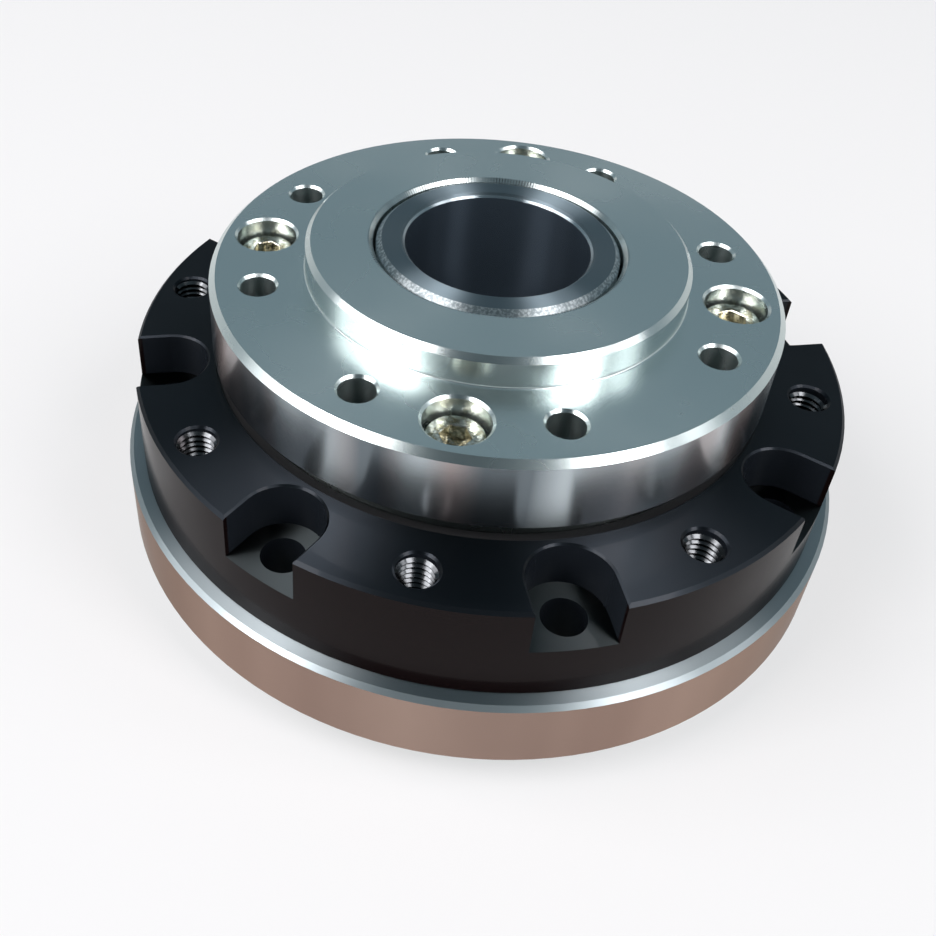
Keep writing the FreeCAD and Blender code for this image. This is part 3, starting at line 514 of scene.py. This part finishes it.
def dark_steel():
    """Hollow shaft: satin end face with painted glints on its edge, a glossy lip painted lighter
    as a painted highlight, and a glossy bore painted dark as painted shade.
    """
    finish = turned("dark_steel")
    inside = finish.between(finish.radius, 0.0, SHAFT_BORE_LIMIT, soft=0.1 * MM)
    bore = finish.math("MULTIPLY", finish.wall, inside)
    near_bore = finish.between(finish.radius, 0.0, SHAFT_LIP_LIMIT, soft=0.05 * MM)
    lip = finish.math("MULTIPLY", finish.math("SUBTRACT", 1.0, finish.wall), near_bore)
    # Painted highlight: the chamfered edge is painted lighter and speckled with painted glints
    grains = finish.noise(finish.place, scale=2200, detail=2.0)
    glint_speckle = finish.ramp(grains, low=0.42, high=0.6)
    edge = finish.between(finish.radius, SHAFT_EDGE_LOW, SHAFT_EDGE_HIGH, soft=0.1 * MM)
    painted_edge_highlight = finish.blend(glint_speckle, SHAFT_EDGE_PAINTED_SHEEN, SHAFT_EDGE_PAINTED_GLINT)
    face_colour = finish.blend(edge, SHAFT_FACE, painted_edge_highlight)
    # Painted highlight: the lip is glossier, and also painted lighter for its glint
    face_colour = finish.blend(lip, face_colour, SHAFT_LIP_PAINTED_HIGHLIGHT)
    # Painted shade: the bore's wall is painted darker than the end face
    finish.send(finish.blend(bore, face_colour, SHAFT_BORE_PAINTED_SHADE), "Base Color")
    finish.send(finish.spread_to(bore, 0.0, 1.0, new_low=1.0, new_high=0.8), "Metallic")
    smooth = finish.math("MAXIMUM", bore, lip)
    finish.send(finish.spread_to(smooth, 0.0, 1.0, new_low=0.48, new_high=0.25), "Roughness")
    finish.relief(finish.turning_marks(3000, detail=3.0), distance=0.003 * MM)
    return finish.material


def bearing_steel():
    finish = Finish("bearing_steel", Base_Color=BEARING_STEEL, Metallic=1.0)
    finish.send(finish.clouded(finish.clouds(900), low=0.16, high=0.26), "Roughness")
    return finish.material


def cut_thread():
    finish = Finish("cut_thread", Base_Color=THREAD_STEEL, Metallic=1.0)
    finish.send(finish.clouded(finish.clouds(1200), low=0.12, high=0.24), "Roughness")
    return finish.material


def zinc_plate():
    """Zinc plated screws with yellowish patches and an uneven surface."""
    finish = Finish("screw_steel", Metallic=1.0)
    cloud = finish.clouds(1100)
    patches = finish.ramp(cloud, low=0.38, high=0.62)
    finish.send(finish.blend(patches, ZINC_BRIGHT, ZINC_YELLOW), "Base Color")
    finish.send(finish.clouded(cloud, low=0.12, high=0.30), "Roughness")
    finish.relief(cloud, distance=0.12 * MM)
    return finish.material


def seal_rubber():
    finish = Finish("seal_rubber", Base_Color=SEAL_BLACK, Specular_IOR_Level=0.4)
    cloud = finish.clouds(2500)
    finish.send(finish.clouded(cloud, low=0.42, high=0.6), "Roughness")
    finish.relief(cloud, distance=0.01 * MM)
    return finish.material


def cage_plastic():
    finish = Finish("cage_plastic", Base_Color=CAGE_BEIGE)
    finish.send(finish.clouded(finish.clouds(1200), low=0.38, high=0.55), "Roughness")
    return finish.material


FINISHES = {
    "turned_aluminium": turned_aluminium(),
    "black_anodised": black_flange(),
    "ground_steel": ground_ring(),
    "dark_steel": dark_steel(),
    "bearing_steel": bearing_steel(),
    "screw_steel": zinc_plate(),
    "seal_rubber": seal_rubber(),
    "cage_plastic": cage_plastic(),
}

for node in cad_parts.values():
    for place in node.material_slots:
        place.material = FINISHES[place.material.name.split(".")[0]]


# Threads

def threads(name, body, size, places):
    """Internal threads in a row of tapped holes."""
    finished(name, repeated(thread(*size), places), cut_thread(), body)


def all_threads():
    in_flange = spots(8, 0, MOUNT_PITCH, flange_top)
    in_spline = spots(8, DISC_TURN + HOLE_STEP / 2, OUTPUT_PITCH, spline_top)
    in_shaft = spots(6, 30, SHAFT_THREAD_PITCH, shaft_end, down=True)
    threads("flange_threads", "housing", M6_THREAD, in_flange)
    threads("spline_threads", "output", M5_THREAD, in_spline)
    threads("shaft_end_threads", "shaft", M3_THREAD, in_shaft)


# Cap screws

def screws(name, node, body, size, pattern, up):
    """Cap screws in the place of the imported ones, whose length they keep."""
    head_height = size[1]
    low, high = node_low(node), node_high(node)
    seat = high - head_height if up else low + head_height
    screw = cap_screw(*size, length=high - low - head_height)
    places = spots(*pattern, seat, down=not up)
    piece = finished(name, repeated(screw, places), FINISHES["screw_steel"], body)
    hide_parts(node)


def all_screws():
    on_disc = (4, DISC_TURN, OUTPUT_PITCH)
    on_ring = (4, 0, HOUSING_SCREW_PITCH)
    on_cover = (8, HOLE_STEP / 2, COVER_SCREW_PITCH)
    screws("output_cap_screws", "output_screws", "output", M5_SCREW, on_disc, up=True)
    screws("housing_cap_screws", "housing_screws", "housing", M4_SCREW, on_ring, up=False)
    screws("cover_cap_screws", "rear_cover_screws", "housing", M3_SCREW, on_cover, up=False)


all_threads()
all_screws()


# Camera: angles in degrees, with a lens and a sensor in mm

CAMERA_AZIMUTH = -84.2
CAMERA_ELEVATION = 33.06
CAMERA_DISTANCE = 178.1 * MM
CAMERA_YAW = 5.34
CAMERA_PITCH = -6.33
CAMERA_ROLL = 6.38
CAMERA_LENS = 42.78
CAMERA_SENSOR = 36.0
CAMERA_SHIFT = (0.0972, -0.0951)
CAMERA_NEAR_LIMIT = 10 * MM

# Windows: distance, elevation, height and light of all, then azimuth, width in degrees and share

WINDOW_DISTANCE = 1.2
WINDOW_ELEVATION = 43
WINDOW_HEIGHT = 0.7
WINDOW_RADIANCE = 8.0
WINDOW_COLOUR = (1.0, 0.94, 0.95)
WINDOWS = {
    "left_window": (-138, 24, 1.0),
    "far_left_window": (-166, 30, 0.46),
    "right_window": (-26, 20, 1.0),
    "far_right_window": (5.5, 14, 0.42),
}

# Room: its light, and the dimmer part of it, from the edge to the core in degrees from its middle

ROOM_COLOUR = (0.66, 0.87, 1.0, 1)
ROOM_LIGHT = 0.32
DIM_LIGHT = 0.08
DIM_ELEVATION = 40
DIM_EDGE = 38
DIM_CORE = 12

# Floor: its section from the middle outwards, and how much of its colour is its own light

FLOOR_LEVEL = -0.05 * MM
FLOOR_FLAT = [(0.0, FLOOR_LEVEL), (1.5, FLOOR_LEVEL)]
FLOOR_RISE = [(1.7, 0.03), (1.85, 0.12), (1.93, 0.27), (1.95, 0.62)]
FLOOR_STEPS = 96
FLOOR_COLOUR = (0.72, 0.72, 0.72, 1)
FLOOR_OWN_LIGHT = 0.55


def direction(azimuth, elevation):
    a = math.radians(azimuth)
    e = math.radians(elevation)
    return Vector((math.cos(a) * math.cos(e), math.sin(a) * math.cos(e), math.sin(e)))


def add_camera():
    camera = added("camera", bpy.data.cameras.new("camera"))
    camera.data.sensor_width = CAMERA_SENSOR
    camera.data.lens = CAMERA_LENS
    camera.data.shift_x, camera.data.shift_y = CAMERA_SHIFT
    camera.data.clip_start = CAMERA_NEAR_LIMIT
    back = direction(CAMERA_AZIMUTH, CAMERA_ELEVATION)
    right = AXIS.cross(back).normalized()
    aim = Matrix((right, back.cross(right), back)).transposed()
    for degrees, axis in ((CAMERA_YAW, "Y"), (CAMERA_PITCH, "X"), (CAMERA_ROLL, "Z")):
        aim = aim @ Matrix.Rotation(math.radians(degrees), 3, axis)
    place = Vector((0, 0, disc_top)) + back * CAMERA_DISTANCE
    camera.matrix_world = Matrix.Translation(place) @ aim.to_4x4()
    bpy.context.scene.camera = camera


def add_window(name, azimuth, width_degrees, share):
    """Upright soft light that faces the object, as wide as that many degrees."""
    width = 2 * WINDOW_DISTANCE * math.tan(math.radians(width_degrees / 2))
    radiance = share * WINDOW_RADIANCE
    lamp = bpy.data.lights.new(name, "AREA")
    lamp.shape = "RECTANGLE"
    lamp.size = width
    lamp.size_y = WINDOW_HEIGHT
    lamp.energy = radiance * math.pi * width * WINDOW_HEIGHT
    lamp.color = WINDOW_COLOUR
    light = added(name, lamp)
    towards = direction(azimuth, WINDOW_ELEVATION)
    light.location = Vector((0, 0, disc_top)) + towards * WINDOW_DISTANCE
    light.rotation_euler = towards.to_track_quat("Z", "Y").to_euler()


def floor_finish():
    """Pale floor, part of whose colour is its own light. It is clear from below."""
    finish = Finish("floor", Base_Color=FLOOR_COLOUR, Roughness=0.9, Specular_IOR_Level=0.1)
    tree = finish.tree
    path = finish.node("ShaderNodeLightPath")
    seen = finish.math("MAXIMUM", path.outputs["Is Camera Ray"], path.outputs["Is Glossy Ray"])
    seen = finish.math("MAXIMUM", seen, path.outputs["Is Transmission Ray"])
    own_light = finish.math("MULTIPLY", seen, FLOOR_OWN_LIGHT)
    white = finish.node("ShaderNodeEmission")
    above = finish.node(
        "ShaderNodeMixShader", (own_light, finish.shader.outputs[0], white.outputs[0]))
    clear = finish.node("ShaderNodeBsdfTransparent")
    below = finish.node("ShaderNodeNewGeometry").outputs["Backfacing"]
    sides = finish.node("ShaderNodeMixShader", (below, above.outputs[0], clear.outputs[0]))
    tree.links.new(sides.outputs[0], tree.nodes["Material Output"].inputs["Surface"])
    return finish.material


def add_floor():
    """Floor whose edge rises all round into a low backdrop."""
    bm = bmesh.new()
    verts = [bm.verts.new((x, 0, z)) for x, z in FLOOR_FLAT + FLOOR_RISE]
    edges = [bm.edges.new(pair) for pair in zip(verts, verts[1:])]
    bmesh.ops.spin(
        bm, geom=verts + edges, cent=(0, 0, 0), axis=AXIS, dvec=(0, 0, 0), angle=2 * math.pi,
        steps=FLOOR_STEPS, use_merge=True, use_duplicate=False)
    closed_and_smooth(bm)
    bmesh.ops.reverse_faces(bm, faces=bm.faces[:])
    floor = mesh_object("floor", bm, floor_finish())


def add_world():
    """Even cool light, dimmer over the camera."""
    world = bpy.data.worlds.new("room")
    world.use_nodes = True
    tree = world.node_tree
    background = tree.nodes["Background"]
    background.inputs["Color"].default_value = ROOM_COLOUR
    towards = tree.nodes.new("ShaderNodeTexCoord").outputs["Generated"]
    nearness = tree.nodes.new("ShaderNodeVectorMath")
    nearness.operation = "DOT_PRODUCT"
    nearness.inputs[1].default_value = direction(CAMERA_AZIMUTH, DIM_ELEVATION)
    tree.links.new(towards, nearness.inputs[0])
    strength = tree.nodes.new("ShaderNodeMapRange")
    edge = math.cos(math.radians(DIM_EDGE))
    core = math.cos(math.radians(DIM_CORE))
    for socket, value in zip(strength.inputs[1:5], (edge, core, ROOM_LIGHT, DIM_LIGHT)):
        socket.default_value = value
    tree.links.new(nearness.outputs["Value"], strength.inputs[0])
    tree.links.new(strength.outputs[0], background.inputs["Strength"])
    bpy.context.scene.world = world


add_world()
add_floor()
for name, window in WINDOWS.items():
    add_window(name, *window)
add_camera()
bpy.context.scene.view_settings.view_transform = "Standard"
